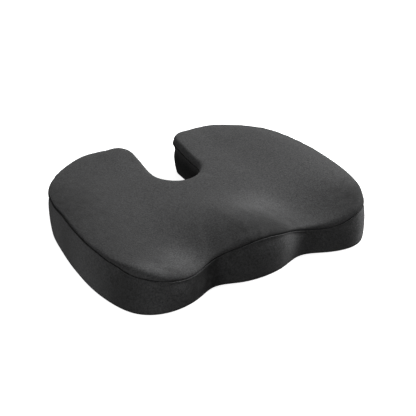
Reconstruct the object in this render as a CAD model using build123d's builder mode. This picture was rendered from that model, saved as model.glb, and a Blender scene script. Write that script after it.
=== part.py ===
"""Seat cushion with a tailbone cut-out: a contoured foam block in a removable, zipped cover.

The frame: +X across the seat, +Y towards the back (the cut-out opens that way), +Z up.
The origin is under the middle of the cushion, on the surface it stands on. Millimetres.

The cover is sewn from a top panel, two side bands and two base panels. A welt runs along the top
seam and another along the base seam. A coil zip crosses the underside in a shallow channel, so that
the cover comes off, and its slider rides along X with a pull tab hinged on it.
"""

import os

from math import cos, pi

from build123d import *

# ---- outline, seen from above ------------------------------------------------------------------
HALF_WIDTH = 225.0
FRONT_MIDDLE_Y = -178.0
CUT_HALF = 45.0  # the cut-out's walls stand this far each side of the middle
CUT_ROUND_Y = 83.0  # where its walls end and its round end begins
CUT_MOUTH_Y = 148.0  # where its walls end towards the back
# The right-hand half, from the front's middle, past the thigh notch and the side, to the lobe's tip.
HALF_OUTLINE = [
    (0, FRONT_MIDDLE_Y),
    (38, -173),
    (75, -162.5),
    (112, -175),
    (150, -183),
    (190, -167.5),
    (213.5, -125),
    (HALF_WIDTH, -35),
    (223, 50),
    (206, 109),
    (164, 156.5),
    (112, 181.5),
    (84, 184),
    (58, 177.5),
    (47, 164),
    (CUT_HALF, CUT_MOUTH_Y),
]

# ---- seat surface ------------------------------------------------------------------------------
SEAT_Z = 59.0  # the dished middle
RIM_Z = 71.0  # along both sides
DISH_FROM_X = 90.0  # the dish is level up to here
DISH_TO_X = 205.0  # and has climbed to the rim here
POMMEL_Z = 75.5  # the top of the ridge between the thighs
POMMEL_TOP_Y = -125.0  # from here it falls towards the front edge,
POMMEL_FALL = 7.5  # by this much
GROOVE_Z = 45.5  # the bottom of each thigh groove, at the front edge
GROOVE_X = 97.0
CORNER_X = 205.0
GROOVE_BACK_Y = 0.0  # the grooves and the ridge fade out here
GROOVE_FULL_Y = -160.0  # and have their full depth and height from here on
REAR_LIFT = 10.0  # how far the lobes climb again towards the back
REAR_FROM_Y = 90.0
REAR_TO_Y = 180.0
SURFACE_STEP = 20.0  # spacing of the surface's points
SURFACE_HALF_X = 260.0
SURFACE_HALF_Y = 220.0

# ---- cover -------------------------------------------------------------------------------------
CLOTH = 2.5  # velour with its backing
WELT_HEIGHT = 2.4
WELT_PROUD = 0.6  # how far a welt stands out of the bands
BASE_T = 2.5  # base cloth with its grip dots
BASE_WELT_LOW = 1.2
CUTOUT_BAND_X = 60.0  # the cut-out's own band lies within this, each side of the middle,
CUTOUT_BAND_Y = 150.0  # and is sewn to the outer band here, at the lobes' tips

# ---- zip, crossing the underside along X; its y values are measured from ZIP_Y -----------------
ZIP_Y = -20.0
OPENING_X = 180.0  # half the length of the opening between the base panels
OPENING_Y = 10.0  # and half its width
HEM_T = 2.0  # the base panels' folded edges
CHANNEL_X = 192.0  # the channel in the foam, half its length,
CHANNEL_Y = 15.5  # half its width
CHANNEL_TOP = 8.6  # and its top
TAPE_LOW = 6.0
TAPE_HIGH = 6.7
TAPE_X = 188.0
TAPE_Y = 15.0
CHAIN_GAP = 0.7  # the coils keep this clear of the middle line, where the slider's post passes
COIL_Y = 3.3
COIL_LOW = 3.9
COIL_ROUND = 0.9
COIL_FROM_X = -150.5
COIL_TO_X = 156.5
STOP_LENGTH = 4.0
STOP_LOW = 3.0  # lower than the slider's outer plate reaches, so that the slider stops here
STOP_ROUND = 0.5
END_TAB_FROM_X = 166.0
END_TAB_TO_X = 190.0
END_TAB_LOW = 2.9

# ---- slider and its pull tab; their x values are measured from the slider's middle --------------
SLIDER_X = 150.0  # with the zip closed
SLIDER_HALF = 6.0
NOSE_Y = 5.8
TAIL_Y = 4.5
PLATE_ROUND = 0.6
PLATE_T = 1.0
OUTER_PLATE_LOW = 2.7
INNER_PLATE_LOW = 6.9
FLANGE_T = 0.9
FLANGE_TOP = 5.7
POST_X = 3.8
POST_LENGTH = 3.6
POST_WIDTH = 1.0
ARCH_LENGTH = 6.4
ARCH_WIDTH = 2.4
ARCH_T = 0.7
ARCH_LOW = 0.4
HINGE_Z = 1.9
PULL_T = 1.2
PULL_LENGTH = 29.0
NECK_LENGTH = 9.0
NECK_Y = 3.0
GRIP_FROM_X = 12.0
GRIP_Y = 4.0
GRIP_ROUND = 3.5
EYE_LENGTH = 3.7
EYE_WIDTH = 3.0
TIP_HOLE_X = 24.0
TIP_HOLE_R = 1.8


def smooth(value, low, high):
    """0 below low, 1 above high, and a smooth step between them."""
    t = min(1.0, max(0.0, (value - low) / (high - low)))
    return t * t * (3 - 2 * t)


def front_height(x, y):
    """The seat's height near the front edge: ridge, thigh groove, corner."""
    x = abs(x)
    if x < GROOVE_X:
        past_top = min(1.0, max(0.0, (POMMEL_TOP_Y - y) / (POMMEL_TOP_Y - FRONT_MIDDLE_Y)))
        high, share = POMMEL_Z - POMMEL_FALL * past_top**2, x / GROOVE_X
    else:
        high, share = RIM_Z, 1 - min(1.0, (x - GROOVE_X) / (CORNER_X - GROOVE_X))
    return GROOVE_Z + (high - GROOVE_Z) * (1 + cos(pi * share)) / 2


def seat_height(x, y):
    """The height of the cushion's top at a place in the plan."""
    dish = SEAT_Z + (RIM_Z - SEAT_Z) * smooth(abs(x), DISH_FROM_X, DISH_TO_X)
    dish += smooth(y, REAR_FROM_Y, REAR_TO_Y) * min(REAR_LIFT, RIM_Z - dish)
    front = smooth(-y, -GROOVE_BACK_Y, -GROOVE_FULL_Y)
    return dish + (front_height(x, y) - dish) * front


def steps(half):
    """Evenly spaced values from -half to half."""
    count = round(2 * half / SURFACE_STEP)
    return [-half + 2 * half * i / count for i in range(count + 1)]


def seat_slab(drop, thickness):
    """A slab whose top is the seat surface lowered by drop."""
    grid = [
        [Vector(x, y, seat_height(x, y) - drop) for y in steps(SURFACE_HALF_Y)]
        for x in steps(SURFACE_HALF_X)
    ]
    surface = Face.make_surface_from_array_of_points(grid)
    return Solid.extrude(surface, Vector(0, 0, -thickness))


def outline(inset, z=0.0):
    """The cushion's outline as a flat sketch at height z, moved in by inset."""
    edge = Edge.make_spline(HALF_OUTLINE, tangents=[(1, 0), (0, -1)])
    half = []
    for point in HALF_OUTLINE:
        along = edge % edge.param_at_point(point)
        half.append(Vector(*point) + Vector(-along.Y, along.X) * inset)
    cut_radius = CUT_HALF + inset
    with BuildSketch(Plane.XY.offset(z)) as plan:
        with BuildLine():
            Spline(*half, tangents=[(1, 0), (0, -1)])
            Line((cut_radius, CUT_MOUTH_Y), (cut_radius, CUT_ROUND_Y))
            CenterArc((0, CUT_ROUND_Y), cut_radius, 0, -90)
            mirror(about=Plane.YZ)
        make_face()
    return plan.sketch


def bar(from_x, to_x, from_y, to_y, low, high, mode=Mode.ADD):
    """A box between two corners, with y measured from the zip's middle line."""
    middle = ((from_x + to_x) / 2, ZIP_Y + (from_y + to_y) / 2, (low + high) / 2)
    with Locations(middle):
        Box(abs(to_x - from_x), abs(to_y - from_y), high - low, mode=mode)


BLANK_HEIGHT = 1.5 * RIM_Z  # higher than the cushion, before its top is shaped
WELT_DROP = CLOTH
BAND_DROP = WELT_DROP + WELT_HEIGHT
BAND_LOW = BASE_WELT_LOW + WELT_HEIGHT

# ---- foam, with a channel for the zip ----------------------------------------------------------
with BuildPart() as foam_core:
    extrude(outline(CLOTH, BASE_T), amount=BLANK_HEIGHT)
    add(seat_slab(CLOTH, BLANK_HEIGHT), mode=Mode.INTERSECT)
    bar(-CHANNEL_X, CHANNEL_X, -CHANNEL_Y, CHANNEL_Y, 0, CHANNEL_TOP, Mode.SUBTRACT)

# ---- cover: top panel, bands and welts ---------------------------------------------------------
with BuildPart() as top_panel:
    extrude(outline(0), amount=BLANK_HEIGHT)
    add(seat_slab(0, CLOTH), mode=Mode.INTERSECT)

with BuildPart() as band:
    extrude(outline(0, BAND_LOW), amount=BLANK_HEIGHT)
    extrude(outline(CLOTH, BAND_LOW), amount=BLANK_HEIGHT, mode=Mode.SUBTRACT)
    add(seat_slab(BAND_DROP, BLANK_HEIGHT), mode=Mode.INTERSECT)

with BuildPart() as outer_band:
    add(band)
    with Locations((0, CUTOUT_BAND_Y / 2, 0)):
        Box(2 * CUTOUT_BAND_X, CUTOUT_BAND_Y, 2 * BLANK_HEIGHT, mode=Mode.SUBTRACT)

with BuildPart() as cutout_band:
    add(band)
    with Locations((0, CUTOUT_BAND_Y / 2, 0)):
        Box(2 * CUTOUT_BAND_X, CUTOUT_BAND_Y, 2 * BLANK_HEIGHT, mode=Mode.INTERSECT)

with BuildPart() as top_seam_welt:
    extrude(outline(-WELT_PROUD), amount=BLANK_HEIGHT)
    extrude(outline(CLOTH), amount=BLANK_HEIGHT, mode=Mode.SUBTRACT)
    add(seat_slab(WELT_DROP, WELT_HEIGHT), mode=Mode.INTERSECT)

with BuildPart() as base_seam_welt:
    extrude(outline(-WELT_PROUD, BASE_WELT_LOW), amount=WELT_HEIGHT)
    extrude(outline(CLOTH, BASE_WELT_LOW), amount=WELT_HEIGHT, mode=Mode.SUBTRACT)

# ---- base panels: they meet beyond the zip's ends, and each has a hem folded up beside the zip --
with BuildPart() as base_front_panel:
    extrude(outline(CLOTH), amount=BASE_T)
    bar(-HALF_WIDTH, HALF_WIDTH, 0, 2 * HALF_WIDTH, 0, BASE_T, Mode.SUBTRACT)
    bar(-OPENING_X, OPENING_X, -OPENING_Y, 0, 0, BASE_T, Mode.SUBTRACT)
    bar(-OPENING_X, OPENING_X, -OPENING_Y - HEM_T, -OPENING_Y, BASE_T, TAPE_LOW)

with BuildPart() as base_rear_panel:
    extrude(outline(CLOTH), amount=BASE_T)
    bar(-HALF_WIDTH, HALF_WIDTH, 0, -2 * HALF_WIDTH, 0, BASE_T, Mode.SUBTRACT)
    bar(-OPENING_X, OPENING_X, 0, OPENING_Y, 0, BASE_T, Mode.SUBTRACT)
    bar(-OPENING_X, OPENING_X, OPENING_Y, OPENING_Y + HEM_T, BASE_T, TAPE_LOW)

# ---- zip: tapes, coils, stops and end tabs -----------------------------------------------------
with BuildPart() as zip_tape_front:
    bar(-TAPE_X, TAPE_X, -TAPE_Y, -CHAIN_GAP, TAPE_LOW, TAPE_HIGH)

with BuildPart() as zip_tape_rear:
    bar(-TAPE_X, TAPE_X, CHAIN_GAP, TAPE_Y, TAPE_LOW, TAPE_HIGH)

with BuildPart() as zip_coil_front:
    bar(COIL_FROM_X, COIL_TO_X, -COIL_Y, -CHAIN_GAP, COIL_LOW, TAPE_LOW)
    fillet(zip_coil_front.faces().sort_by(Axis.Z)[0].edges(), radius=COIL_ROUND)

with BuildPart() as zip_coil_rear:
    bar(COIL_FROM_X, COIL_TO_X, CHAIN_GAP, COIL_Y, COIL_LOW, TAPE_LOW)
    fillet(zip_coil_rear.faces().sort_by(Axis.Z)[0].edges(), radius=COIL_ROUND)

with BuildPart() as zip_top_stops:
    stop_end = COIL_TO_X + STOP_LENGTH
    bar(COIL_TO_X, stop_end, -COIL_Y, -CHAIN_GAP, STOP_LOW, TAPE_LOW)
    bar(COIL_TO_X, stop_end, CHAIN_GAP, COIL_Y, STOP_LOW, TAPE_LOW)
    fillet(zip_top_stops.edges().group_by(Axis.Z)[0], radius=STOP_ROUND)

with BuildPart() as zip_bottom_stop:
    bar(COIL_FROM_X - STOP_LENGTH, COIL_FROM_X, -COIL_Y, COIL_Y, STOP_LOW, TAPE_LOW)
    fillet(zip_bottom_stop.edges().group_by(Axis.Z)[0], radius=STOP_ROUND)

with BuildPart() as zip_end_tabs:
    bar(END_TAB_FROM_X, END_TAB_TO_X, -OPENING_Y, OPENING_Y, END_TAB_LOW, TAPE_LOW)
    bar(-END_TAB_TO_X, -END_TAB_FROM_X, -OPENING_Y, OPENING_Y, END_TAB_LOW, TAPE_LOW)

# ---- slider: two plates joined by a post at the nose, and an arch that holds the pull ----------
SLIDER = (SLIDER_X, ZIP_Y)
PLATE_CORNERS = [
    (-SLIDER_HALF, -TAIL_Y),
    (0, -TAIL_Y),
    (SLIDER_HALF, -NOSE_Y),
    (SLIDER_HALF, NOSE_Y),
    (0, TAIL_Y),
    (-SLIDER_HALF, TAIL_Y),
]
OUTER_PLATE_TOP = OUTER_PLATE_LOW + PLATE_T

with BuildPart() as zip_slider:
    for low in (OUTER_PLATE_LOW, INNER_PLATE_LOW):
        with BuildSketch(Plane.XY.offset(low)) as plate:
            with Locations(SLIDER):
                Polygon(*PLATE_CORNERS, align=None)
            fillet(plate.vertices(), radius=PLATE_ROUND)
        extrude(amount=PLATE_T)
    with BuildSketch(Plane.XY.offset(OUTER_PLATE_TOP)):
        with Locations(SLIDER):
            Polygon(*PLATE_CORNERS, align=None)
            Polygon(
                (-SLIDER_HALF, -TAIL_Y + FLANGE_T),
                (0, -TAIL_Y + FLANGE_T),
                (SLIDER_HALF, -NOSE_Y + FLANGE_T),
                (SLIDER_HALF, NOSE_Y - FLANGE_T),
                (0, TAIL_Y - FLANGE_T),
                (-SLIDER_HALF, TAIL_Y - FLANGE_T),
                align=None,
                mode=Mode.SUBTRACT,
            )
    extrude(amount=FLANGE_TOP - OUTER_PLATE_TOP)
    with Locations((SLIDER_X + POST_X, ZIP_Y, (OUTER_PLATE_TOP + INNER_PLATE_LOW) / 2)):
        Box(POST_LENGTH, POST_WIDTH, INNER_PLATE_LOW - OUTER_PLATE_TOP)
    with BuildSketch(Plane.XZ.offset(-ZIP_Y)) as arch:
        with Locations((SLIDER_X, OUTER_PLATE_LOW)):
            arch_height = OUTER_PLATE_LOW - ARCH_LOW
            Rectangle(ARCH_LENGTH, arch_height, align=(Align.CENTER, Align.MAX))
            fillet(arch.vertices().group_by(Axis.Y)[0], radius=ARCH_T)
            Rectangle(
                ARCH_LENGTH - 2 * ARCH_T,
                arch_height - ARCH_T,
                align=(Align.CENTER, Align.MAX),
                mode=Mode.SUBTRACT,
            )
    extrude(amount=ARCH_WIDTH / 2, both=True)

# ---- pull tab: an eye round the arch's bar, a neck and a rounded grip --------------------------
with BuildPart() as zip_pull:
    with BuildSketch(Plane.XY.offset(HINGE_Z - PULL_T / 2)) as tab:
        with Locations(SLIDER):
            Polygon(
                (0, -NECK_Y),
                (0, NECK_Y),
                (-NECK_LENGTH, NECK_Y),
                (-GRIP_FROM_X, GRIP_Y),
                (-PULL_LENGTH, GRIP_Y),
                (-PULL_LENGTH, -GRIP_Y),
                (-GRIP_FROM_X, -GRIP_Y),
                (-NECK_LENGTH, -NECK_Y),
                align=None,
            )
        fillet(tab.vertices().group_by(Axis.X)[0], radius=GRIP_ROUND)
        with Locations((SLIDER_X - EYE_LENGTH / 2, ZIP_Y)):
            Rectangle(EYE_LENGTH, EYE_WIDTH, mode=Mode.SUBTRACT)
        with Locations((SLIDER_X - TIP_HOLE_X, ZIP_Y)):
            Circle(TIP_HOLE_R, mode=Mode.SUBTRACT)
    extrude(amount=PULL_T)
    with Locations(Location((SLIDER_X, ZIP_Y, HINGE_Z), (90, 0, 0))):
        Cylinder(PULL_T / 2, 2 * NECK_Y)

# ---- files -------------------------------------------------------------------------------------
PIECES = {
    "foam_core": foam_core,
    "top_panel": top_panel,
    "outer_band": outer_band,
    "cutout_band": cutout_band,
    "top_seam_welt": top_seam_welt,
    "base_seam_welt": base_seam_welt,
    "base_front_panel": base_front_panel,
    "base_rear_panel": base_rear_panel,
    "zip_tape_front": zip_tape_front,
    "zip_tape_rear": zip_tape_rear,
    "zip_coil_front": zip_coil_front,
    "zip_coil_rear": zip_coil_rear,
    "zip_top_stops": zip_top_stops,
    "zip_bottom_stop": zip_bottom_stop,
    "zip_end_tabs": zip_end_tabs,
    "zip_slider": zip_slider,
    "zip_pull": zip_pull,
}
os.makedirs("parts", exist_ok=True)
for name, piece in PIECES.items():
    piece.part.label = name
    export_step(piece.part, f"parts/{name}.step")
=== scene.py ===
import math

import bpy
import numpy as np
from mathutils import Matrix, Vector, geometry


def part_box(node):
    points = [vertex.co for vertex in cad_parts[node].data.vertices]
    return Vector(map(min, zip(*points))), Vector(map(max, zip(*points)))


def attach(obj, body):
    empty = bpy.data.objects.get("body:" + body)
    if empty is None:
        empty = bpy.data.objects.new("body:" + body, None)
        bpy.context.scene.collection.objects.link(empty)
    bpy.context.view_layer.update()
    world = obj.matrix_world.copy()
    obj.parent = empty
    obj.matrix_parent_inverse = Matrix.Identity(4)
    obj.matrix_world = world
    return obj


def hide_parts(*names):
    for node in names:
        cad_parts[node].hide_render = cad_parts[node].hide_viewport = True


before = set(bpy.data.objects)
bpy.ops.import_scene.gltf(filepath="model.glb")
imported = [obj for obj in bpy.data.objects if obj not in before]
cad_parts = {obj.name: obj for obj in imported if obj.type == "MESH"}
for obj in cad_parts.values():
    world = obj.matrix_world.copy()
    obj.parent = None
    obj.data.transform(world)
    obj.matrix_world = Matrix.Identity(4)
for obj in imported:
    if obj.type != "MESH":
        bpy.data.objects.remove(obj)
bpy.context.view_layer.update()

# The look of a seat cushion: a velour cover over a contoured foam block. Shapes are worked out in
# millimetres in the shared frame (+X across, +Y back, +Z up), and become metres in add_mesh().
MM = 0.001
scene = bpy.context.scene

# ---- the cushion's shape -----------------------------------------------------------------------
# The right half of the outline: front middle, thigh notch, front lobe, side, rear lobe, its tip.
HALF_OUTLINE = [
    (0, -178), (38, -173), (75, -162.5), (112, -175), (150, -183), (190, -167.5), (213.5, -125),
    (225, -35), (223, 50), (206, 109), (164, 156.5), (112, 181.5), (84, 184), (58, 177.5), (47, 164),
    (45, 148),
]
SIDE_X = HALF_OUTLINE[7][0]  # half the width, at its widest
FRONT_Y = HALF_OUTLINE[0][1]  # the front edge, in the middle
CUT_HALF = 45.0  # half the width of the tailbone cut-out
CUT_ROUND_Y = 83.0  # where its round end begins
SPAN_STEPS, ROUND_STEPS = 24, 40  # steps between two outline points, and round half of that end
LOOP_COUNT = 360  # evenly spaced points round the whole outline

# The cover is not quite even: it sits a little to the right in front and to the left behind,
FRONT_SHIFT, FRONT_SHIFT_ZONE = 1.8, (60, 150)
REAR_SHIFT, REAR_SHIFT_ZONE = -1.8, (0, 110)
# and here it is fuller than the outline, or slacker: x, y, reach, and how much fuller.
FULLER = [
    (-102, -168, 32, 3.6), (-10, -178, 60, 1.2), (172, -178, 26, 2.2),
    (-224, 38, 42, -1.8), (214, 62, 52, -3.4), (-45, 125, 40, 2.0),
]

SEAT_Z = 59.0  # the dished middle
RIM_Z = 71.0  # the rim along both sides
DISH_FROM_X, DISH_TO_X = 90.0, 205.0  # the slope from one to the other
POMMEL_Z = 75.5  # the top of the ridge between the thighs
POMMEL_TOP_Y, POMMEL_FALL = -125.0, 7.5  # where it starts to fall to the front edge, and how far
GROOVE_Z, GROOVE_X = 45.5, 97.0  # the bottom of the thigh grooves
GROOVE_FULL_Y, GROOVE_BACK_Y = -160.0, 0.0  # where they have their full shape, and where they end
REAR_LIFT, REAR_FROM_Y, REAR_TO_Y = 10.0, 90.0, 180.0  # the seat's rise towards the back

# How far in from the outline the top seam lies.
FRONT_LEAN, SIDE_LEAN, REAR_LEAN, CUT_LEAN = 5.0, 1.0, 2.5, -4.5
LEFT_LEAN = 3.0  # further along the left side
LEFT_CUT_LEAN = -2.5  # further along the cut-out's left wall
# How far below the seat surface it lies: at the sides and back, in front, and in the cut-out.
SEAM_DROP, FRONT_SEAM_DROP, CUT_SEAM_DROP = 3.0, 6.0, 11.0
CORNER_SEAM_DROP = 9.5  # round the front corners
LEFT_CORNER_DROP = 2.5  # further round the left one
# How far in from the seam the top panel's rolled edge reaches.
EDGE_ROLL, POMMEL_ROLL, CORNER_ROLL, CUT_ROLL = 4.5, 11.0, 10.0, 8.0

# The distances over which the outline's stretches begin or end: across, or to the front or back.
CUT_ZONE, CUT_LEFT_ZONE = (56, 82), (10, 40)
POMMEL_ZONE = (25, 75)
FRONT_ZONE, REAR_ZONE = (60, 160), (60, 150)
CORNER_X_ZONE, CORNER_Y_ZONE, LEFT_CORNER_ZONE = (95, 150), (128, 162), (135, 165)
LEFT_X_ZONE, LEFT_Y_ZONE, LEFT_MIDDLE_Y = (205, 220), (50, 90), -40

BASE_SEAM_Z, BASE_SEAM_INSET = 1.6, 0.4
BASE_CLOTH_Z = 0.5  # the base cloth; its grip dots reach down to 0
BAND_BULGE, BULGE_POWER = 2.2, 0.7  # how far the bands swell out, and how evenly
# How far the bands are pulled in below the top seam; where and over what share of their height.
PINCH, PINCH_AT, PINCH_REACH = 1.2, 0.12, 0.08
CUT_PINCH, CUT_PINCH_AT, CUT_PINCH_REACH = 3.2, 0.24, 0.16
SHEET_T, BASE_T = 1.8, 0.9  # the thickness of the velour and of the base cloth
WELT_R = 0.85

# ---- the zip, across the underside -------------------------------------------------------------
ZIP_Y = -20.0
OPENING_X, OPENING_Y = 180.0, 10.0  # half the opening in the base cloth


def smooth(value, low, high):
    """0 below low, 1 above high, and a smooth step between them."""
    t = np.clip((value - low) / (high - low), 0, 1)
    return t * t * (3 - 2 * t)


def seat_height(x, y):
    """The height of the seat surface over a place in the plan."""
    ax = np.abs(x)
    past_top = np.clip((POMMEL_TOP_Y - y) / (POMMEL_TOP_Y - FRONT_Y), 0, 1)
    ridge = POMMEL_Z - POMMEL_FALL * past_top**2 - GROOVE_Z
    pommel = GROOVE_Z + ridge * (1 + np.cos(math.pi * ax / GROOVE_X)) / 2
    past = np.clip((ax - GROOVE_X) / (DISH_TO_X - GROOVE_X), 0, 1)
    corner = GROOVE_Z + (RIM_Z - GROOVE_Z) * (1 - np.cos(math.pi * past)) / 2
    front = np.where(ax < GROOVE_X, pommel, corner)
    dish = SEAT_Z + (RIM_Z - SEAT_Z) * smooth(ax, DISH_FROM_X, DISH_TO_X)
    dish = dish + smooth(y, REAR_FROM_Y, REAR_TO_Y) * np.minimum(REAR_LIFT, RIM_Z - dish)
    return dish + (front - dish) * smooth(-y, -GROOVE_BACK_Y, -GROOVE_FULL_Y)


def curve_through(points, leaving, arriving, steps):
    """Points along a smooth curve through the given ones, with its directions at both ends."""
    p = np.array(points, float)
    gap = np.linalg.norm(np.diff(p, axis=0), axis=1)
    n = len(p)
    lhs, rhs = np.eye(n), np.zeros((n, 2))
    rhs[0], rhs[-1] = leaving, arriving
    for i in range(1, n - 1):
        lhs[i, i - 1 : i + 2] = gap[i], 2 * (gap[i - 1] + gap[i]), gap[i - 1]
        rise = gap[i] * (p[i] - p[i - 1]) / gap[i - 1] + gap[i - 1] * (p[i + 1] - p[i]) / gap[i]
        rhs[i] = 3 * rise
    slope = np.linalg.solve(lhs, rhs)
    t = np.linspace(0, 1, steps, endpoint=False)[:, None]
    spans = [
        (2 * t**3 - 3 * t**2 + 1) * p[i]
        + (t**3 - 2 * t**2 + t) * gap[i] * slope[i]
        + (3 * t**2 - 2 * t**3) * p[i + 1]
        + (t**3 - t**2) * gap[i] * slope[i + 1]
        for i in range(n - 1)
    ]
    return np.vstack(spans + [p[-1:]])


def evenly(loop, count):
    """A closed loop resampled to count evenly spaced points."""
    closed = np.vstack([loop, loop[:1]])
    along = np.concatenate([[0], np.cumsum(np.linalg.norm(np.diff(closed, axis=0), axis=1))])
    at = np.linspace(0, along[-1], count, endpoint=False)
    return np.stack([np.interp(at, along, closed[:, k]) for k in range(closed.shape[1])], axis=1)


def soften(values, rounds):
    """Values round a loop, each averaged with its neighbours a few times."""
    for _ in range(rounds):
        values = (np.roll(values, 1, 0) + 2 * values + np.roll(values, -1, 0)) / 4
    return values


half = curve_through(HALF_OUTLINE, (1, 0), (0, -1), SPAN_STEPS)
turn = np.linspace(0, -math.pi / 2, ROUND_STEPS)
round_end = np.stack([CUT_HALF * np.cos(turn), CUT_ROUND_Y + CUT_HALF * np.sin(turn)], axis=1)
half = np.vstack([half, round_end])
outline = evenly(np.vstack([half, (half * (-1, 1))[-2:0:-1]]), LOOP_COUNT)
outline = soften(outline, rounds=2)
outline[:, 0] += (FRONT_SHIFT * smooth(-outline[:, 1], *FRONT_SHIFT_ZONE)
                  + REAR_SHIFT * smooth(outline[:, 1], *REAR_SHIFT_ZONE))
ahead = np.roll(outline, -1, 0) - np.roll(outline, 1, 0)
inward = soften(np.stack([-ahead[:, 1], ahead[:, 0]], axis=1), rounds=3)
inward /= np.linalg.norm(inward, axis=1)[:, None]
for x, y, reach, fuller in FULLER:
    away = np.linalg.norm(outline - (x, y), axis=1)
    outline -= inward * (fuller * np.exp(-((away / reach) ** 2)))[:, None]
from_middle = np.abs(outline[:, 0])
in_cut = np.where(outline[:, 1] > 0, 1 - smooth(from_middle, *CUT_ZONE), 0.0)
at_pommel = np.where(outline[:, 1] < 0, 1 - smooth(from_middle, *POMMEL_ZONE), 0.0)
at_front = smooth(-outline[:, 1], *FRONT_ZONE)
at_rear = smooth(outline[:, 1], *REAR_ZONE)
at_corner = smooth(from_middle, *CORNER_X_ZONE) * smooth(-outline[:, 1], *CORNER_Y_ZONE)
from_left_middle = np.abs(outline[:, 1] - LEFT_MIDDLE_Y)
at_left = smooth(-outline[:, 0], *LEFT_X_ZONE) * (1 - smooth(from_left_middle, *LEFT_Y_ZONE))
lean = SIDE_LEAN + (FRONT_LEAN - SIDE_LEAN) * at_front + (REAR_LEAN - SIDE_LEAN) * at_rear
lean += LEFT_LEAN * at_left
lean += (CUT_LEAN + LEFT_CUT_LEAN * smooth(-outline[:, 0], *CUT_LEFT_ZONE) - lean) * in_cut
seam_drop = SEAM_DROP + (FRONT_SEAM_DROP - SEAM_DROP) * at_front
seam_drop += (CORNER_SEAM_DROP - FRONT_SEAM_DROP) * at_corner
seam_drop += LEFT_CORNER_DROP * at_corner * smooth(-outline[:, 0], *LEFT_CORNER_ZONE)
seam_drop += (CUT_SEAM_DROP - seam_drop) * in_cut
edge_roll = EDGE_ROLL + (POMMEL_ROLL - EDGE_ROLL) * at_pommel + (CUT_ROLL - EDGE_ROLL) * in_cut
edge_roll += (CORNER_ROLL - EDGE_ROLL) * at_corner


def plan_ring(inset):
    """The outline moved in by inset, which is one number or one for each point."""
    return outline + inward * np.broadcast_to(inset, LOOP_COUNT)[:, None]


def ring(inset, z):
    """A ring of points: the outline moved in by inset, at height z."""
    flat = plan_ring(inset)
    return np.column_stack([flat, np.broadcast_to(z, LOOP_COUNT)])


def top_ring(past_seam):
    """A ring on the top panel, past_seam in from the top seam."""
    flat = plan_ring(lean + past_seam)
    rest = 1 - np.clip(past_seam / edge_roll, 0, 1)
    z = seat_height(flat[:, 0], flat[:, 1]) - seam_drop * (1 - np.sqrt(1 - rest**2))
    return np.column_stack([flat, z])


seam_flat = plan_ring(lean)
seam_z = soften(seat_height(seam_flat[:, 0], seam_flat[:, 1]) - seam_drop, rounds=2)


def inside(points, loop):
    """Whether each point lies inside the closed loop, in the plan."""
    a, b = loop[:, :2], np.roll(loop[:, :2], -1, 0)
    x, y = points[:, :1], points[:, 1:2]
    crosses = (a[:, 1] > y) != (b[:, 1] > y)
    rise = np.where(b[:, 1] == a[:, 1], 1, b[:, 1] - a[:, 1])
    at = a[:, 0] + (y - a[:, 1]) * (b[:, 0] - a[:, 0]) / rise
    return (crosses & (x < at)).sum(1) % 2 == 1


def clearance(points, loop):
    """How far each point is from the nearest point of the loop, in the plan."""
    return np.sqrt(((points[:, None, :2] - loop[None, :, :2]) ** 2).sum(2)).min(1)


GRID_X, GRID_Y = 240, 200  # how far grids reach from the middle, past the outline on every side


def grid_points(spacing):
    """Staggered points over the whole plan."""
    pitch = spacing * math.sqrt(3) / 2
    rows = math.ceil(GRID_Y / pitch)
    columns = math.ceil(GRID_X / spacing)
    column, row = np.meshgrid(np.arange(-columns, columns + 1), np.arange(-rows, rows + 1))
    x = (column + 0.5 * (row % 2)) * spacing
    return np.column_stack([x.ravel(), (row * pitch).ravel()])


def fill(loops, loose):
    """Triangles over the plan between closed loops and through loose points, as vertex numbers."""
    corners, edges = [], []
    for loop in loops:
        start, n = len(corners), len(loop)
        corners += [Vector(p[:2]) for p in loop]
        edges += [(start + k, start + (k + 1) % n) for k in range(n)]
    corners += [Vector(p[:2]) for p in loose]
    whole_plan, tolerance = 1, 1e-6
    _, _, triangles, came_from, *_ = geometry.delaunay_2d_cdt(corners, edges, [], whole_plan, tolerance)
    number = [vertices[0] for vertices in came_from]
    return [tuple(number[v] for v in face) for face in triangles]


def add_mesh(name, points, faces):
    """A smooth mesh object from points in millimetres."""
    mesh = bpy.data.meshes.new(name)
    mesh.from_pydata((np.asarray(points) * MM).tolist(), [], faces)
    mesh.update()
    mesh.shade_smooth()
    obj = bpy.data.objects.new(name, mesh)
    scene.collection.objects.link(obj)
    return obj


def strip(first, second, count=LOOP_COUNT, closed=True):
    """Quads between two rings that start at those vertex numbers."""
    last = count if closed else count - 1
    return [(first + i, second + i, second + (i + 1) % count, first + (i + 1) % count)
            for i in range(last)]


def settle(obj):
    """Applies the object's modifiers to its mesh."""
    bpy.context.view_layer.update()
    done = obj.evaluated_get(bpy.context.evaluated_depsgraph_get())
    mesh = bpy.data.meshes.new_from_object(done)
    old, obj.data = obj.data, mesh
    obj.modifiers.clear()
    bpy.data.meshes.remove(old)
    obj.data.name = obj.name
    return obj


def thicken(obj, depth, subdivide=True):
    """Gives a sheet its thickness, inward, after one subdivision."""
    if subdivide:
        finer = obj.modifiers.new("finer", "SUBSURF")
        finer.levels = finer.render_levels = 1
    sheet = obj.modifiers.new("sheet", "SOLIDIFY")
    sheet.thickness = depth * MM
    sheet.offset = -1
    return settle(obj)


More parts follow.
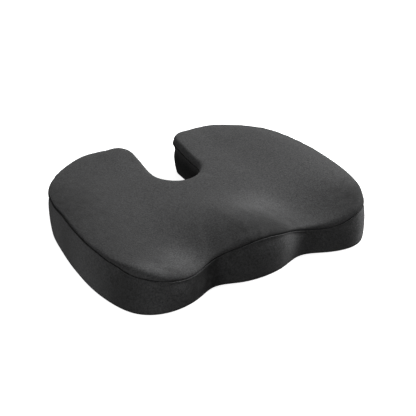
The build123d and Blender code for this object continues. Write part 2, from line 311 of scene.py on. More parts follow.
# ---- the cover before it is filled: top panel, side band, and a plain floor to close it --------
ROLL_SHARES = (0.0, 0.1, 0.25, 0.45, 0.7, 1.0)  # rings across the rolled edge,
PAST_ROLL = (4, 9)  # and past it
TOP_GRID, TOP_GRID_GAP = 5.5, 3.2  # the points inside them, and their gap to the last ring
top_rings = [top_ring(share * edge_roll) for share in ROLL_SHARES]
top_rings += [top_ring(edge_roll + further) for further in PAST_ROLL]
top_rings[0][:, 2] = seam_z
inner_loop = top_rings[-1]
grid = grid_points(TOP_GRID)
grid = grid[inside(grid, inner_loop)]
grid = grid[clearance(grid, inner_loop) > TOP_GRID_GAP]
middle = np.column_stack([grid, seat_height(grid[:, 0], grid[:, 1])])

# Rings down the bands, from below the top seam to the base seam.
BAND_SHARES = (0.03, 0.09, 0.17, 0.26, 0.36, 0.46, 0.56, 0.66, 0.76, 0.85, 0.92, 0.97, 1)
band_rings = []
for share in BAND_SHARES:
    pinch = PINCH * math.exp(-(((share - PINCH_AT) / PINCH_REACH) ** 2))
    cut_pinch = CUT_PINCH * math.exp(-(((share - CUT_PINCH_AT) / CUT_PINCH_REACH) ** 2))
    inset = lean + (BASE_SEAM_INSET - lean) * share
    inset -= BAND_BULGE * math.sin(math.pi * share) ** BULGE_POWER
    inset += pinch * (1 - in_cut)
    inset += cut_pinch * in_cut
    band_rings.append(ring(inset, seam_z + (BASE_SEAM_Z - seam_z) * share))

points = np.vstack(top_rings + [middle] + band_rings)
top_count = len(top_rings) * LOOP_COUNT + len(middle)
last_top = (len(top_rings) - 1) * LOOP_COUNT
first_band = top_count
top_faces = []
for k in range(len(top_rings) - 1):
    quads = strip(k * LOOP_COUNT, (k + 1) * LOOP_COUNT)
    top_faces += [(a, d, c, b) for a, b, c, d in quads]
top_faces += [tuple(v + last_top for v in face) for face in fill([inner_loop], middle)]
band_faces = strip(0, first_band)
for k in range(len(band_rings) - 1):
    start = first_band + k * LOOP_COUNT
    band_faces += strip(start, start + LOOP_COUNT)
last_band = first_band + (len(band_rings) - 1) * LOOP_COUNT
floor_faces = [tuple(v + last_band for v in reversed(face)) for face in fill([band_rings[-1]], [])]


TOP_PUSH = 0.25  # how much of the pressure the top panel feels
SIM_STEPS = 20


def blow_up(points, faces):
    """The cover filled by its foam: a cloth simulation with a little pressure behind the cloth."""
    cover = add_mesh("cover_sim", points, faces)
    held = np.zeros(len(points))
    held[:LOOP_COUNT] = 1
    held[last_band:] = 1
    pushed = np.zeros(len(points))
    pushed[:top_count] = TOP_PUSH
    pushed[first_band:last_band] = 1
    for name, weights in (("held", held), ("pushed", pushed)):
        group = cover.vertex_groups.new(name=name)
        for v, weight in enumerate(weights):
            group.add([v], float(weight), "REPLACE")
    cloth = cover.modifiers.new("cloth", "CLOTH")
    cloth.settings.quality = 6
    cloth.settings.mass = 0.4
    cloth.settings.use_pressure = True
    cloth.settings.uniform_pressure_force = 4
    cloth.settings.vertex_group_pressure = "pushed"
    cloth.settings.vertex_group_mass = "held"
    cloth.settings.effector_weights.gravity = 0
    cloth.settings.bending_stiffness = 0.6
    cloth.collision_settings.use_collision = False
    for step in range(1, SIM_STEPS + 1):
        scene.frame_set(step)
    settle(cover)
    moved = np.zeros(len(points) * 3)
    cover.data.vertices.foreach_get("co", moved)
    scene.frame_set(1)
    bpy.data.objects.remove(cover)
    return moved.reshape(-1, 3) / MM


TOP_PUFF, BAND_PUFF = 0.6, 1.2  # the most that the simulation may move the cloth
puff_cap = np.full(len(points), BAND_PUFF)
puff_cap[:top_count] = TOP_PUFF
puffed = blow_up(points, top_faces + band_faces + floor_faces)
shift = puffed - points
size = np.linalg.norm(shift, axis=1)
shift *= (puff_cap * np.tanh(size / puff_cap) / np.maximum(size, 1e-6))[:, None]
points = points + shift

outward = -np.column_stack([inward, np.zeros(LOOP_COUNT)])
up = np.array([0, 0, 1.0])
seam = points[:LOOP_COUNT].copy()

# Edges turn in at their seams. Each ring of a turned edge: how far above its seam, and how far in.
TUCK_IN = 2.4
TOP_EDGE, TOP_TURN = (1.0, 0.5), ((-1.4, 1.4), (-0.3, 2.0), (0.7, 1.7))
BAND_TOP_TURN = ((-1.5, TUCK_IN), (-2.0, 0.3))
BAND_BASE_EDGE, BAND_BASE_TURN = (1.3, 0.4), (1.0, TUCK_IN)
TOP_WELT_AT, BASE_WELT_AT = (-1.2, 0.1), (0.0, 0.7)
BASE_TURN = ((-0.4, TUCK_IN), (-0.7, 1.0))


def beside(seam_line, rise, depth):
    """A line beside a seam: above it by rise, and in from it by depth."""
    return seam_line + up * rise - outward * depth


# ---- top panel: its edge turns in at the seam, which leaves a fine groove above the welt -------
top_points = points[:top_count].copy()
top_points[:LOOP_COUNT] = beside(seam, *TOP_EDGE)
turned = [beside(seam, rise, depth) for rise, depth in TOP_TURN]
faces = [tuple(v + len(turned) * LOOP_COUNT for v in face) for face in top_faces]
for k in range(len(turned)):
    faces += [(a, d, c, b) for a, b, c, d in strip(k * LOOP_COUNT, (k + 1) * LOOP_COUNT)]
top_panel = add_mesh("top_cover", np.vstack(turned + [top_points]), faces)
thicken(top_panel, SHEET_T)

# ---- side band, sewn from an outer piece and the cut-out's own ---------------------------------
BAND_JOIN_X = 52  # the two pieces meet at the tips of the rear lobes, this far from the middle
rings = [beside(seam, rise, depth) for rise, depth in BAND_TOP_TURN]
rings += [points[first_band + k * LOOP_COUNT :][:LOOP_COUNT] for k in range(len(band_rings))]
base_seam = rings[-1].copy()
rings[-1] = beside(base_seam, *BAND_BASE_EDGE)
rings.append(beside(base_seam, *BAND_BASE_TURN))
tips = [i for i in range(LOOP_COUNT) if abs(outline[i, 0]) < BAND_JOIN_X and outline[i, 1] > 0]
cut_first, cut_last = min(tips), max(tips)


def band_piece(name, first, last):
    """A stretch of the side band, from one point of the outline to another."""
    numbers = [i % LOOP_COUNT for i in range(first, last + 1)]
    rows = [r[numbers] for r in rings]
    count = len(numbers)
    faces = []
    for k in range(len(rows) - 1):
        faces += strip(k * count, (k + 1) * count, count, closed=False)
    return thicken(add_mesh(name, np.vstack(rows), faces), SHEET_T)


cut_band = band_piece("cutout_band_cloth", cut_first, cut_last)
side_band = band_piece("outer_band_cloth", cut_last, cut_first + LOOP_COUNT)


# ---- welts: a thin cord of cloth along each seam -----------------------------------------------
def tube(name, line, radius, sides=10, closed=True):
    """A round tube along a line of points."""
    line = np.asarray(line, float)
    if closed:
        along = np.roll(line, -1, 0) - np.roll(line, 1, 0)
    else:
        along = np.gradient(line, axis=0)
    along /= np.linalg.norm(along, axis=1)[:, None]
    side = np.cross(along, up)
    side /= np.linalg.norm(side, axis=1)[:, None]
    over = np.cross(side, along)
    count = len(line)
    rows = []
    for k in range(sides):
        angle = 2 * math.pi * k / sides
        rows.append(line + radius * (math.cos(angle) * side + math.sin(angle) * over))
    faces = []
    for k in range(sides):
        faces += strip(k * count, (k + 1) % sides * count, count, closed)
    if not closed:
        faces.append([k * count for k in range(sides)][::-1])
        faces.append([k * count + count - 1 for k in range(sides)])
    return add_mesh(name, np.vstack(rows), faces)


def finer_loop(loop):
    """The loop with a smooth point added between each two."""
    between = (9 * (loop + np.roll(loop, -1, 0)) - np.roll(loop, 1, 0) - np.roll(loop, -2, 0)) / 16
    return np.stack([loop, between], axis=1).reshape(-1, 3)


top_welt = tube("top_seam_cord", finer_loop(beside(seam, *TOP_WELT_AT)), WELT_R)
base_welt = tube("base_seam_cord", finer_loop(beside(base_seam, *BASE_WELT_AT)), WELT_R)

# ---- base panels, either side of the zip -------------------------------------------------------
BASE_SAG_IN, BASE_SAG_Z = 2.6, 0.65  # the base cloth curves down past its seam,
BASE_FLAT_IN = 6  # and lies flat from here on
HEM_LIP = 1.6  # how far outside the opening the hem starts
HEM_TURNS = ((0.6, 1.1), (0.0, 2.2), (0.0, 5.7))  # its rings: past the opening, and their height
BASE_GRID, BASE_GRID_GAP, LIP_GAP = 11, 5, 4
MEETING_PITCH, MEETING_GAP = 6, 10  # points where the two panels meet, beyond the zip's ends
LONG_STEPS, SHORT_STEPS = 72, 4  # points along a rectangle's sides
base_rings = [beside(base_seam, rise, depth) for rise, depth in BASE_TURN]
base_rings.append(ring(BASE_SEAM_INSET + BASE_SAG_IN, BASE_SAG_Z))
base_rings.append(ring(BASE_SEAM_INSET + BASE_FLAT_IN, BASE_CLOTH_Z))
base_loop = base_rings[-1]


def rectangle(half_x, half_y):
    """A closed rectangle of points about the zip's middle."""
    corners = np.array([(-half_x, -half_y), (half_x, -half_y), (half_x, half_y), (-half_x, half_y)])
    sides = []
    for a, b, steps in zip(corners, np.roll(corners, -1, 0), (LONG_STEPS, SHORT_STEPS) * 2):
        sides.append(a + (b - a) * np.arange(steps)[:, None] / steps)
    return np.vstack(sides) + (0, ZIP_Y)


lip = rectangle(OPENING_X + HEM_LIP, OPENING_Y + HEM_LIP)
base_grid = grid_points(BASE_GRID)
base_grid = base_grid[inside(base_grid, base_loop) & ~inside(base_grid, lip)]
base_grid = base_grid[clearance(base_grid, base_loop) > BASE_GRID_GAP]
base_grid = base_grid[clearance(base_grid, lip) > LIP_GAP]
meeting_x = np.arange(OPENING_X + MEETING_PITCH, SIDE_X - MEETING_GAP, MEETING_PITCH)
meeting = [(side * x, ZIP_Y) for side in (-1, 1) for x in meeting_x]


def base_panel(name, side):
    """One base panel: side is -1 in front of the zip, and 1 behind it."""
    flat = np.vstack([base_loop[:, :2], lip, base_grid, meeting])
    triangles = fill([base_loop, lip], np.vstack([base_grid, meeting]))
    points = np.vstack(base_rings[:-1] + [np.column_stack([flat, np.full(len(flat), BASE_CLOTH_Z)])])
    before = (len(base_rings) - 1) * LOOP_COUNT
    lip_at = before + LOOP_COUNT
    faces = []
    for k in range(len(base_rings) - 1):
        faces += strip(k * LOOP_COUNT, (k + 1) * LOOP_COUNT)
    centres = flat[np.array(triangles)].mean(1)
    for triangle, is_open in zip(triangles, inside(centres, lip)):
        if not is_open:
            faces.append(tuple(v + before for v in reversed(triangle)))
    # the hem: the cloth turns up at the opening and lies under the zip's tape
    n = len(lip)
    for past, z in HEM_TURNS:
        loop = rectangle(OPENING_X + past, OPENING_Y + past)
        points = np.vstack([points, np.column_stack([loop, np.full(n, z)])])
    starts = [lip_at] + [len(points) - n * (len(HEM_TURNS) - k) for k in range(len(HEM_TURNS))]
    for a, b in zip(starts, starts[1:]):
        faces += strip(a, b, n)
    faces = [face for face in faces if side * (points[list(face), 1].mean() - ZIP_Y) > 0]
    used = sorted({v for face in faces for v in face})
    number = {v: k for k, v in enumerate(used)}
    panel = add_mesh(name, points[used], [tuple(number[v] for v in face) for face in faces])
    return thicken(panel, BASE_T, subdivide=False)


front_base = base_panel("base_front_cloth", -1)
rear_base = base_panel("base_rear_cloth", 1)


def copies(name, shape, faces, places):
    """Many copies of one small shape in one mesh, at the given places."""
    shape = np.asarray(shape, float)
    points = (np.asarray(places)[:, None, :] + shape[None]).reshape(-1, 3)
    n = len(shape)
    numbers = [tuple(v + k * n for v in face) for k in range(len(places)) for face in faces]
    return add_mesh(name, points, numbers)


# ---- grip dots on the base cloth ---------------------------------------------------------------
ROUND = 10  # the sides of a dot or a stitch
angles = np.arange(ROUND) * 2 * math.pi / ROUND
circle = np.column_stack([np.cos(angles), np.sin(angles)])

DOT_R, DOT_PITCH = 1.3, 10
DOT_RINGS = ((1.0, BASE_CLOTH_Z + 0.2), (0.93, 0.18), (0.6, 0.03))  # share of its radius, and height
DOT_GAP = 6  # from the panels' edge,
DOT_ZIP_Y, DOT_ZIP_X = 19, 14  # from the zip's middle and from its ends,
DOT_MEETING_GAP = 3  # and from where the panels meet
dot = [np.column_stack([circle * DOT_R * share, np.full(ROUND, z)]) for share, z in DOT_RINGS]
dot = np.vstack(dot + [[(0, 0, 0)]])
tip, last_ring = len(dot) - 1, len(dot) - 1 - ROUND
dot_faces = strip(ROUND, 0, ROUND) + strip(2 * ROUND, ROUND, ROUND)
dot_faces += [(tip, last_ring + (k + 1) % ROUND, last_ring + k) for k in range(ROUND)]
dot_faces.append(tuple(range(ROUND)))
dots_at = grid_points(DOT_PITCH)
from_zip = np.abs(dots_at[:, 1] - ZIP_Y)
keep = inside(dots_at, base_loop) & (clearance(dots_at, base_loop) > DOT_GAP)
keep &= (from_zip > DOT_ZIP_Y) | (np.abs(dots_at[:, 0]) > OPENING_X + DOT_ZIP_X)
keep &= from_zip > DOT_MEETING_GAP
dots_at = np.column_stack([dots_at[keep], np.zeros(keep.sum())])
grip_dots = copies("grip_dots", dot, dot_faces, dots_at)

# ---- stitching along both hems -----------------------------------------------------------------
STITCH, STITCH_R, STITCH_PITCH = 1.25, 0.3, 3.4  # half a stitch's length, its radius, their spacing
STITCH_PROFILE = ((-1.0, 0.05), (-0.8, 0.75), (-0.3, 1.0), (0.3, 1.0), (0.8, 0.75), (1.0, 0.05))
STITCH_SINK = 0.12  # how far a stitch's middle lies below the cloth
HEM_ROWS = (2.6, 5.2)  # past the opening
STITCH_START, STITCH_END = 3, 2  # short of the opening's ends
thread = np.vstack([
    np.column_stack([np.full(ROUND, along * STITCH), circle * STITCH_R * girth])
    for along, girth in STITCH_PROFILE
])
last_ring = len(thread) - ROUND
thread_faces = [face for k in range(0, last_ring, ROUND) for face in strip(k + ROUND, k, ROUND)]
thread_faces += [tuple(range(ROUND - 1, -1, -1)), tuple(range(last_ring, len(thread)))]
stitch_x = np.arange(-OPENING_X + STITCH_START, OPENING_X - STITCH_END, STITCH_PITCH)
stitches_at = [(x, ZIP_Y + side * (OPENING_Y + past), BASE_CLOTH_Z - STITCH_SINK)
               for side in (-1, 1) for past in HEM_ROWS for x in stitch_x]
hem_stitches = copies("hem_stitches", thread, thread_faces, stitches_at)

# ---- zip coils: one wire turned round and round along each tape --------------------------------
COIL_PITCH, COIL_STEPS = 1.3, 12  # one turn's length, and its points
COIL_SHORT = 0.3  # how far short of the row's ends the wire stops
COIL_Y, COIL_HALF_Y = 1.93, 1.07  # its middle, from the zip's, and how far it swings to either side
COIL_Z, COIL_HALF_Z = 4.95, 0.72  # the same in height
WIRE_R, WIRE_SIDES = 0.31, 6
coil_from, coil_to = (c.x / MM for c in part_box("zip_coil_front"))
turns = int((coil_to - coil_from - 2 * COIL_SHORT) / COIL_PITCH)


def coil(name, side, phase):
    """One row of the zip's coil: side is -1 in front and 1 behind; phase is its start, in turns."""
    angle = np.arange(turns * COIL_STEPS + 1) * 2 * math.pi / COIL_STEPS
    line = np.column_stack([
        coil_from + COIL_SHORT + COIL_PITCH * (angle / (2 * math.pi) + phase * (1 - angle / angle[-1])),
        ZIP_Y + side * (COIL_Y + COIL_HALF_Y * np.cos(angle)),
        COIL_Z + COIL_HALF_Z * np.sin(angle),
    ])
    return tube(name, line, WIRE_R, sides=WIRE_SIDES, closed=False)


coil_front = coil("coil_front", -1, 0.0)
coil_rear = coil("coil_rear", 1, 0.5)

# ---- foam: the cover's inside, with a channel over the zip -------------------------------------
FOAM_IN = 3.4  # how far inside the cover it lies
FOAM_BASE_Z, CHANNEL_Z = 3.2, 8.6
CHANNEL_MOUTH, CHANNEL_ROOF = (192.2, 15.6), (192.0, 15.4)  # half lengths and widths
BOTTOM_GRID, BOTTOM_GRID_GAP, CHANNEL_GAP = 16, 6, 5
foam_shape = bpy.data.meshes.new("foam_shape")
foam_shape.from_pydata(points.tolist(), [], top_faces + band_faces + floor_faces)
foam_shape.update()
normals = np.array([v.normal for v in foam_shape.vertices])
bpy.data.meshes.remove(foam_shape)
foam_points = points - normals * FOAM_IN
foam_points[:, 2] = np.maximum(foam_points[:, 2], FOAM_BASE_Z)
foam_loop = foam_points[last_band:]
mouth, roof = rectangle(*CHANNEL_MOUTH), rectangle(*CHANNEL_ROOF)
bottom_grid = grid_points(BOTTOM_GRID)
bottom_grid = bottom_grid[inside(bottom_grid, foam_loop) & ~inside(bottom_grid, mouth)]
bottom_grid = bottom_grid[clearance(bottom_grid, foam_loop) > BOTTOM_GRID_GAP]
bottom_grid = bottom_grid[clearance(bottom_grid, mouth) > CHANNEL_GAP]
bottom = np.vstack([mouth, roof, bottom_grid])
bottom_z = np.full(len(bottom), FOAM_BASE_Z)
bottom_z[len(mouth) : len(mouth) + len(roof)] = CHANNEL_Z
bottom_faces = fill([foam_loop, mouth, roof], bottom_grid)
bottom_faces = [tuple(v + last_band for v in reversed(face)) for face in bottom_faces]
foam = add_mesh("foam_block", np.vstack([foam_points, np.column_stack([bottom, bottom_z])]),
                top_faces + band_faces + bottom_faces)


# ---- materials ---------------------------------------------------------------------------------
RAGGED = 0.012  # how far the edge of a patch of painted light and shade wanders, in metres


class Nodes:
    """A material and short ways to add nodes to it."""

    def __init__(self, name):
        self.material = bpy.data.materials.new(name)
        self.material.use_nodes = True
        self.tree = self.material.node_tree
        self.shader = self.tree.nodes["Principled BSDF"]
        self.place = self.tree.nodes.new("ShaderNodeTexCoord").outputs["Object"]

    def set(self, **values):
        """Numbers and colours on the shader's own sockets."""
        for name, value in values.items():
            self.shader.inputs[name.replace("_", " ")].default_value = value

    def link(self, output, name):
        """An output linked to one of the shader's sockets."""
        self.tree.links.new(output, self.shader.inputs[name])

    def noise(self, scale, detail=2.0, roughness=0.5, distortion=0.0):
        node = self.tree.nodes.new("ShaderNodeTexNoise")
        node.inputs["Scale"].default_value = scale
        node.inputs["Detail"].default_value = detail
        node.inputs["Roughness"].default_value = roughness
        node.inputs["Distortion"].default_value = distortion
        self.tree.links.new(self.place, node.inputs["Vector"])
        return node.outputs["Fac"]

    def plan_place(self):
        """The place over the plan: the object's coordinates without their height."""
        node = self.tree.nodes.new("ShaderNodeMapping")
        node.inputs["Scale"].default_value = (1, 1, 0)
        self.tree.links.new(self.place, node.inputs["Vector"])
        return node.outputs["Vector"]

    def wave(self, scale, direction, distortion=0.0):
        node = self.tree.nodes.new("ShaderNodeTexWave")
        node.bands_direction = direction
        node.inputs["Scale"].default_value = scale
        node.inputs["Distortion"].default_value = distortion
        node.inputs["Detail"].default_value = 1.0
        self.tree.links.new(self.place, node.inputs["Vector"])
        return node.outputs["Fac"]

    def math(self, operation, *values):
        """A sum worked out from numbers and from other nodes' outputs."""
        node = self.tree.nodes.new("ShaderNodeMath")
        node.operation = operation
        for socket, value in zip(node.inputs, values):
            if isinstance(value, (int, float)):
                socket.default_value = value
            else:
                self.tree.links.new(value, socket)
        return node.outputs[0]

    def span(self, value, low, high, to_low, to_high, shape="LINEAR"):
        """A value between low and high, mapped to between to_low and to_high."""
        node = self.tree.nodes.new("ShaderNodeMapRange")
        node.interpolation_type = shape
        for k, number in enumerate((low, high, to_low, to_high)):
            node.inputs[k + 1].default_value = number
        self.tree.links.new(value, node.inputs["Value"])
        return node.outputs["Result"]

    def spread(self, noise, lowest, highest):
        """A noise, which keeps near its middle, spread over the whole of a range."""
        return self.span(noise, 0.3, 0.7, lowest, highest)

    def ramp(self, value, *stops):
        """A colour read off a ramp: each stop is a position and its colour."""
        node = self.tree.nodes.new("ShaderNodeValToRGB")
        elements = node.color_ramp.elements
        while len(elements) < len(stops):
            elements.new(0.5)
        for element, (at, colour) in zip(elements, stops):
            element.position = at
            element.color = (*colour, 1)
        self.tree.links.new(value, node.inputs["Fac"])
        return node.outputs["Color"]

    def painted_crease_shade(self, distance, depth):
        """Painted shade: 1 on open cloth, and less down in a seam or a fold, from an ambient-occlusion
        node.
        """
        node = self.tree.nodes.new("ShaderNodeAmbientOcclusion")
        node.samples = 8
        node.inputs["Distance"].default_value = distance
        covered, clear = 0.15, 0.75
        return self.span(node.outputs["AO"], covered, clear, 1 - depth, 1.0)

    def patch(self, centre, radius, ragged):
        """1 at a place in the plan, fading to 0 at about that radius from it."""
        node = self.tree.nodes.new("ShaderNodeVectorMath")
        node.operation = "DISTANCE"
        self.tree.links.new(self.plan_place(), node.inputs[0])
        node.inputs[1].default_value = (*centre, 0)
        wander = self.spread(ragged, -RAGGED, RAGGED)
        away = self.math("ADD", node.outputs["Value"], wander)
        fade = self.math("SUBTRACT", 1.0, self.math("DIVIDE", away, radius))
        return self.span(fade, 0.0, 1.0, 0.0, 1.0, "SMOOTHSTEP")

    def shaded(self, colour, share):
        """A colour made darker, or lighter where the share is above 1."""
        node = self.tree.nodes.new("ShaderNodeVectorMath")
        node.operation = "SCALE"
        self.tree.links.new(colour, node.inputs[0])
        self.tree.links.new(share, node.inputs["Scale"])
        return node.outputs["Vector"]

    def bump(self, height, depth, strength=1.0, under=None):
        """A bumped normal, over another one where under is given."""
        node = self.tree.nodes.new("ShaderNodeBump")
        node.inputs["Distance"].default_value = depth
        node.inputs["Strength"].default_value = strength
        self.tree.links.new(height, node.inputs["Height"])
        if under:
            self.tree.links.new(under, node.inputs["Normal"])
        return node.outputs["Normal"]


def grey(value):
    """A grey with a trace of blue."""
    return (value, value * 1.005, value * 1.02)


# Painted light and shade on the seat's velour colour: place and radius in metres, and how much lighter
# it looks, or darker below 0.
PAINTED_LIGHT_AND_SHADE = [
    ((-0.052, 0.120), 0.075, 0.25),
    ((-0.238, 0.050), 0.145, -0.58),
    ((-0.170, -0.090), 0.120, -0.25),
    ((-0.112, -0.140), 0.048, 0.85),
    ((-0.168, -0.160), 0.036, 0.60),
    ((0.030, -0.162), 0.080, -0.80),
    ((0.050, -0.086), 0.060, 0.50),
    ((0.190, -0.150), 0.060, -0.60),
    ((0.140, -0.060), 0.100, 0.18),
    ((0.090, 0.160), 0.080, 0.12),
]
# The same painted light and shade along the bands.
BAND_PAINTED_LIGHT_AND_SHADE = [
    ((-0.094, -0.162), 0.050, -0.85),
    ((0.180, -0.176), 0.042, 0.90),
    ((-0.226, 0.040), 0.055, 0.45),
    ((0.055, -0.165), 0.035, 0.60),
    ((-0.222, -0.055), 0.075, 0.50),
    ((-0.160, -0.178), 0.042, 0.50),
    ((-0.204, -0.146), 0.044, -0.35),
]
# And painted shade inside the cut-out.
CUT_PAINTED_SHADE = [((0.0, 0.110), 0.160, -0.60)]


def velour(name, painted_patches=()):
    """Short-pile dark grey velour: fine pile grain, painted shade in seams and folds, and patches of
    painted light and shade.
    """
    m = Nodes(name)
    pile = m.noise(1500, detail=2, roughness=0.6)
    grain = m.noise(430, detail=3, roughness=0.7)
    nap = m.noise(22, detail=3, roughness=0.55, distortion=0.6)
    brushed = m.noise(70, detail=3, roughness=0.6, distortion=0.4)
    mix = m.math("ADD", m.math("MULTIPLY", grain, 0.76), m.math("MULTIPLY", nap, 0.14))
    mix = m.math("ADD", mix, m.math("MULTIPLY", brushed, 0.10))
    colour = m.ramp(mix, (0.34, grey(0.020)), (0.66, grey(0.068)))
    # painted shade: the velour's colour darkens down in seams and folds
    shade = m.painted_crease_shade(distance=0.0016, depth=0.75)
    # painted light and shade: each patch makes the colour lighter or darker where it lies
    for centre, radius, lighter in painted_patches:
        patch = m.patch(centre, radius, brushed)
        shade = m.math("MULTIPLY", shade, m.math("MULTIPLY_ADD", patch, lighter, 1.0))
    m.link(m.shaded(colour, shade), "Base Color")
    m.link(m.spread(nap, 0.78, 0.95), "Roughness")
    m.set(Sheen_Weight=0.10, Sheen_Roughness=0.45, Specular_IOR_Level=0.25)
    fine = m.bump(pile, depth=0.0003, strength=0.3)
    coarse = m.bump(grain, depth=0.0009, strength=0.5, under=fine)
    m.link(m.bump(brushed, depth=0.0010, strength=0.2, under=coarse), "Normal")
    return m.material


def base_cloth():
    """Plain-woven backing cloth."""
    m = Nodes("base_cloth")
    weave = m.math("MULTIPLY", m.wave(190, "X", distortion=0.4), m.wave(190, "Y", distortion=0.4))
    worn = m.noise(30, detail=3, roughness=0.6)
    mix = m.math("ADD", m.math("MULTIPLY", weave, 0.6), m.math("MULTIPLY", worn, 0.4))
    m.link(m.ramp(mix, (0.1, grey(0.022)), (0.8, grey(0.062))), "Base Color")
    m.link(m.spread(worn, 0.7, 0.9), "Roughness")
    m.link(m.bump(weave, depth=0.0003, strength=0.7), "Normal")
    m.set(Sheen_Weight=0.15)
    return m.material


def rubber():
    """Soft black rubber, a little dusty."""
    m = Nodes("grip_rubber")
    dust = m.noise(55, detail=4, roughness=0.6)
    m.link(m.ramp(dust, (0.35, grey(0.014)), (0.75, grey(0.035))), "Base Color")
    m.link(m.spread(dust, 0.45, 0.7), "Roughness")
    m.link(m.bump(m.noise(900), depth=0.0001, strength=0.3), "Normal")
    return m.material


def thread_material():
    """Twisted sewing thread."""
    m = Nodes("thread")
    strand = m.wave(420, "DIAGONAL", distortion=0.5)
    m.link(m.ramp(strand, (0.2, grey(0.016)), (0.8, grey(0.045))), "Base Color")
    m.link(m.spread(m.noise(200), 0.5, 0.75), "Roughness")
    m.link(m.bump(strand, depth=0.0001, strength=0.6), "Normal")
    m.set(Sheen_Weight=0.2)
    return m.material


def tape():
    """The zip's ribbed woven tape."""
    m = Nodes("zip_tape")
    rib = m.math("MULTIPLY", m.wave(420, "X", distortion=0.3), m.wave(260, "Y", distortion=0.3))
    m.link(m.ramp(rib, (0.1, grey(0.010)), (0.8, grey(0.030))), "Base Color")
    m.link(m.spread(m.noise(60, detail=3), 0.65, 0.85), "Roughness")
    m.link(m.bump(rib, depth=0.0002, strength=0.6), "Normal")
    return m.material


def coil_plastic():
    """The smooth black plastic wire of the coils."""
    m = Nodes("coil_plastic")
    shade = m.noise(120, detail=3)
    m.link(m.ramp(shade, (0.3, grey(0.014)), (0.7, grey(0.028))), "Base Color")
    m.link(m.spread(shade, 0.28, 0.42), "Roughness")
    m.link(m.bump(m.noise(800), depth=0.00005, strength=0.3), "Normal")
    return m.material


def lacquered_metal():
    """Black lacquer, rubbed thin along the edges."""
    m = Nodes("zip_metal")
    bevel = m.tree.nodes.new("ShaderNodeBevel")
    bevel.inputs["Radius"].default_value = 0.0004
    shape = m.tree.nodes.new("ShaderNodeNewGeometry")
    turned = m.tree.nodes.new("ShaderNodeVectorMath")
    turned.operation = "DOT_PRODUCT"
    m.tree.links.new(bevel.outputs["Normal"], turned.inputs[0])
    m.tree.links.new(shape.outputs["Normal"], turned.inputs[1])
    edge = m.span(turned.outputs["Value"], 0.99, 0.9, 0.0, 1.0)
    worn = m.noise(900, detail=4, roughness=0.7)
    rubbed = m.math("MULTIPLY", edge, m.span(worn, 0.4, 0.6, 0.0, 1.0))
    m.link(m.ramp(rubbed, (0.1, grey(0.022)), (0.9, grey(0.22))), "Base Color")
    m.link(m.span(rubbed, 0, 1, 0.34, 0.26), "Roughness")
    m.link(m.span(rubbed, 0.2, 0.9, 0.2, 1.0), "Metallic")
    m.link(m.bump(m.noise(1200), depth=0.00003, strength=0.3), "Normal")
    return m.material


def foam_material():
    """Open-celled foam, yellowed here and there."""
    m = Nodes("foam")
    cells = m.tree.nodes.new("ShaderNodeTexVoronoi")
    cells.inputs["Scale"].default_value = 900
    m.tree.links.new(m.place, cells.inputs["Vector"])
    aged = m.noise(15, detail=3)
    m.link(m.ramp(aged, (0.3, (0.70, 0.66, 0.52)), (0.7, (0.80, 0.77, 0.66))), "Base Color")
    m.link(m.spread(aged, 0.85, 0.95), "Roughness")
    m.link(m.bump(cells.outputs["Distance"], depth=0.0004, strength=0.6), "Normal")
    return m.material


def paint(material, *objects):
    """Gives each object this material and no other."""
    for obj in objects:
        obj.data.materials.clear()
        obj.data.materials.append(material)


velour_look = velour("velour")
band_look = velour("band_velour", BAND_PAINTED_LIGHT_AND_SHADE)
cut_look = velour("cut_velour", CUT_PAINTED_SHADE)
seat_look = velour("seat_velour", PAINTED_LIGHT_AND_SHADE)
base_look = base_cloth()
metal_look = lacquered_metal()
tape_look = tape()
paint(seat_look, top_panel)
paint(band_look, side_band)
paint(cut_look, cut_band)
paint(velour_look, top_welt, base_welt)
paint(base_look, front_base, rear_base)
paint(rubber(), grip_dots)
paint(thread_material(), hem_stitches)
paint(coil_plastic(), coil_front, coil_rear)
paint(foam_material(), foam)

# ---- what each piece is ------------------------------------------------------------------------
PIECES = [
    (foam, "foam", ["foam_core"]),
    (top_panel, "velour", ["top_panel"]),
    (side_band, "velour", ["outer_band"]),
    (cut_band, "velour", ["cutout_band"]),
    (top_welt, "velour", ["top_seam_welt"]),
    (base_welt, "velour", ["base_seam_welt"]),
    (front_base, "base_cloth", ["base_front_panel"]),
    (rear_base, "base_cloth", ["base_rear_panel"]),
    (grip_dots, "base_cloth", []),
    (hem_stitches, "base_cloth", []),
    (coil_front, "zip_coil", ["zip_coil_front"]),
    (coil_rear, "zip_coil", ["zip_coil_rear"]),
]
for obj, slot, nodes in PIECES:
    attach(obj, "cushion")
    if nodes:
        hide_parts(*nodes)
# The rest of the zip keeps the CAD's shapes.
TAPE_NODES = ("zip_tape_front", "zip_tape_rear", "zip_end_tabs")
METAL_NODES = ("zip_top_stops", "zip_bottom_stop", "zip_slider", "zip_pull")
paint(tape_look, *(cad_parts[name] for name in TAPE_NODES))
paint(metal_look, *(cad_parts[name] for name in METAL_NODES))

# ---- floor, light and camera -------------------------------------------------------------------
FLOOR_HALF, FLOOR_Z = 6000, -0.3  # half the floor's size, and its height, in millimetres


def pale_floor():
    """A pale backdrop, clear from below, so that the underside can be looked at through it."""
    m = Nodes("pale_floor")
    tone = m.ramp(m.noise(3), (0.3, (0.90, 0.90, 0.90)), (0.7, (0.93, 0.93, 0.93)))
    m.link(tone, "Base Color")
    m.set(Roughness=0.9, Emission_Color=(1, 1, 1, 1), Emission_Strength=0.9)
    clear = m.tree.nodes.new("ShaderNodeBsdfTransparent")
    shape = m.tree.nodes.new("ShaderNodeNewGeometry")
    seen = m.tree.nodes.new("ShaderNodeMixShader")
    m.tree.links.new(shape.outputs["Backfacing"], seen.inputs[0])
    m.tree.links.new(m.shader.outputs[0], seen.inputs[1])
    m.tree.links.new(clear.outputs[0], seen.inputs[2])
    m.tree.links.new(seen.outputs[0], m.tree.nodes["Material Output"].inputs["Surface"])
    return m.material


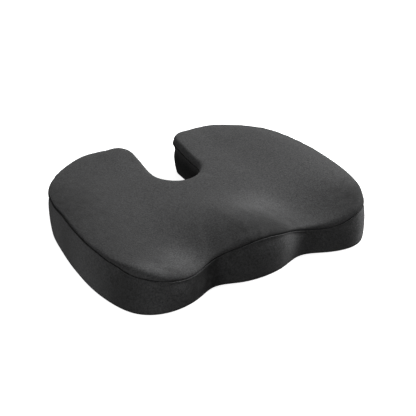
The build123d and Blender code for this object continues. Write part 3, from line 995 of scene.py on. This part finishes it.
sides = ((-1, -1), (1, -1), (1, 1), (-1, 1))
floor_corners = [(x * FLOOR_HALF, y * FLOOR_HALF, FLOOR_Z) for x, y in sides]
floor = add_mesh("floor", floor_corners, [(0, 1, 2, 3)])
paint(pale_floor(), floor)
floor.visible_diffuse = False
floor.visible_glossy = False


# The lights: name, place and size in metres, and power in watts.
LIGHTS = [
    ("key", (1.35, -0.06, 0.92), 0.75, 34),
    ("fill", (-1.9, -0.3, 0.35), 0.9, 13),
    ("back", (0.9, 1.0, 1.6), 1.3, 12),
    ("front", (0.9, -2.3, 0.4), 1.2, 9),
]
LIGHT_AIM = Vector((0, 0, 0.03))
WORLD_STRENGTH = 0.11


def soft_light(name, place, size, power):
    """A square soft light at a place, turned towards the cushion."""
    data = bpy.data.lights.new(name, "AREA")
    data.size = size
    data.energy = power
    light = bpy.data.objects.new(name, data)
    light.location = place
    light.rotation_euler = (LIGHT_AIM - Vector(place)).to_track_quat("-Z", "Y").to_euler()
    scene.collection.objects.link(light)


for name, place, size, power in LIGHTS:
    soft_light(name, place, size, power)
world = bpy.data.worlds.new("studio")
world.use_nodes = True
world.node_tree.nodes["Background"].inputs["Color"].default_value = (1, 1, 1, 1)
world.node_tree.nodes["Background"].inputs["Strength"].default_value = WORLD_STRENGTH
scene.world = world

AZIMUTH, ELEVATION = -30.6, 30.8  # where the camera stands, in degrees from the front and up,
DISTANCE, LENS = 1.187, 66.2  # how far away, in metres, and its lens in millimetres
AIM = Vector((0.0004, -0.023, 0.035))
swing, lift = math.radians(AZIMUTH), math.radians(ELEVATION)
towards = Vector((math.sin(swing) * math.cos(lift), -math.cos(swing) * math.cos(lift), math.sin(lift)))
camera_data = bpy.data.cameras.new("camera")
camera_data.lens = LENS
camera = bpy.data.objects.new("camera", camera_data)
camera.location = AIM + towards * DISTANCE
camera.rotation_euler = (-towards).to_track_quat("-Z", "Y").to_euler()
scene.collection.objects.link(camera)
scene.camera = camera
scene.view_settings.view_transform = "Standard"
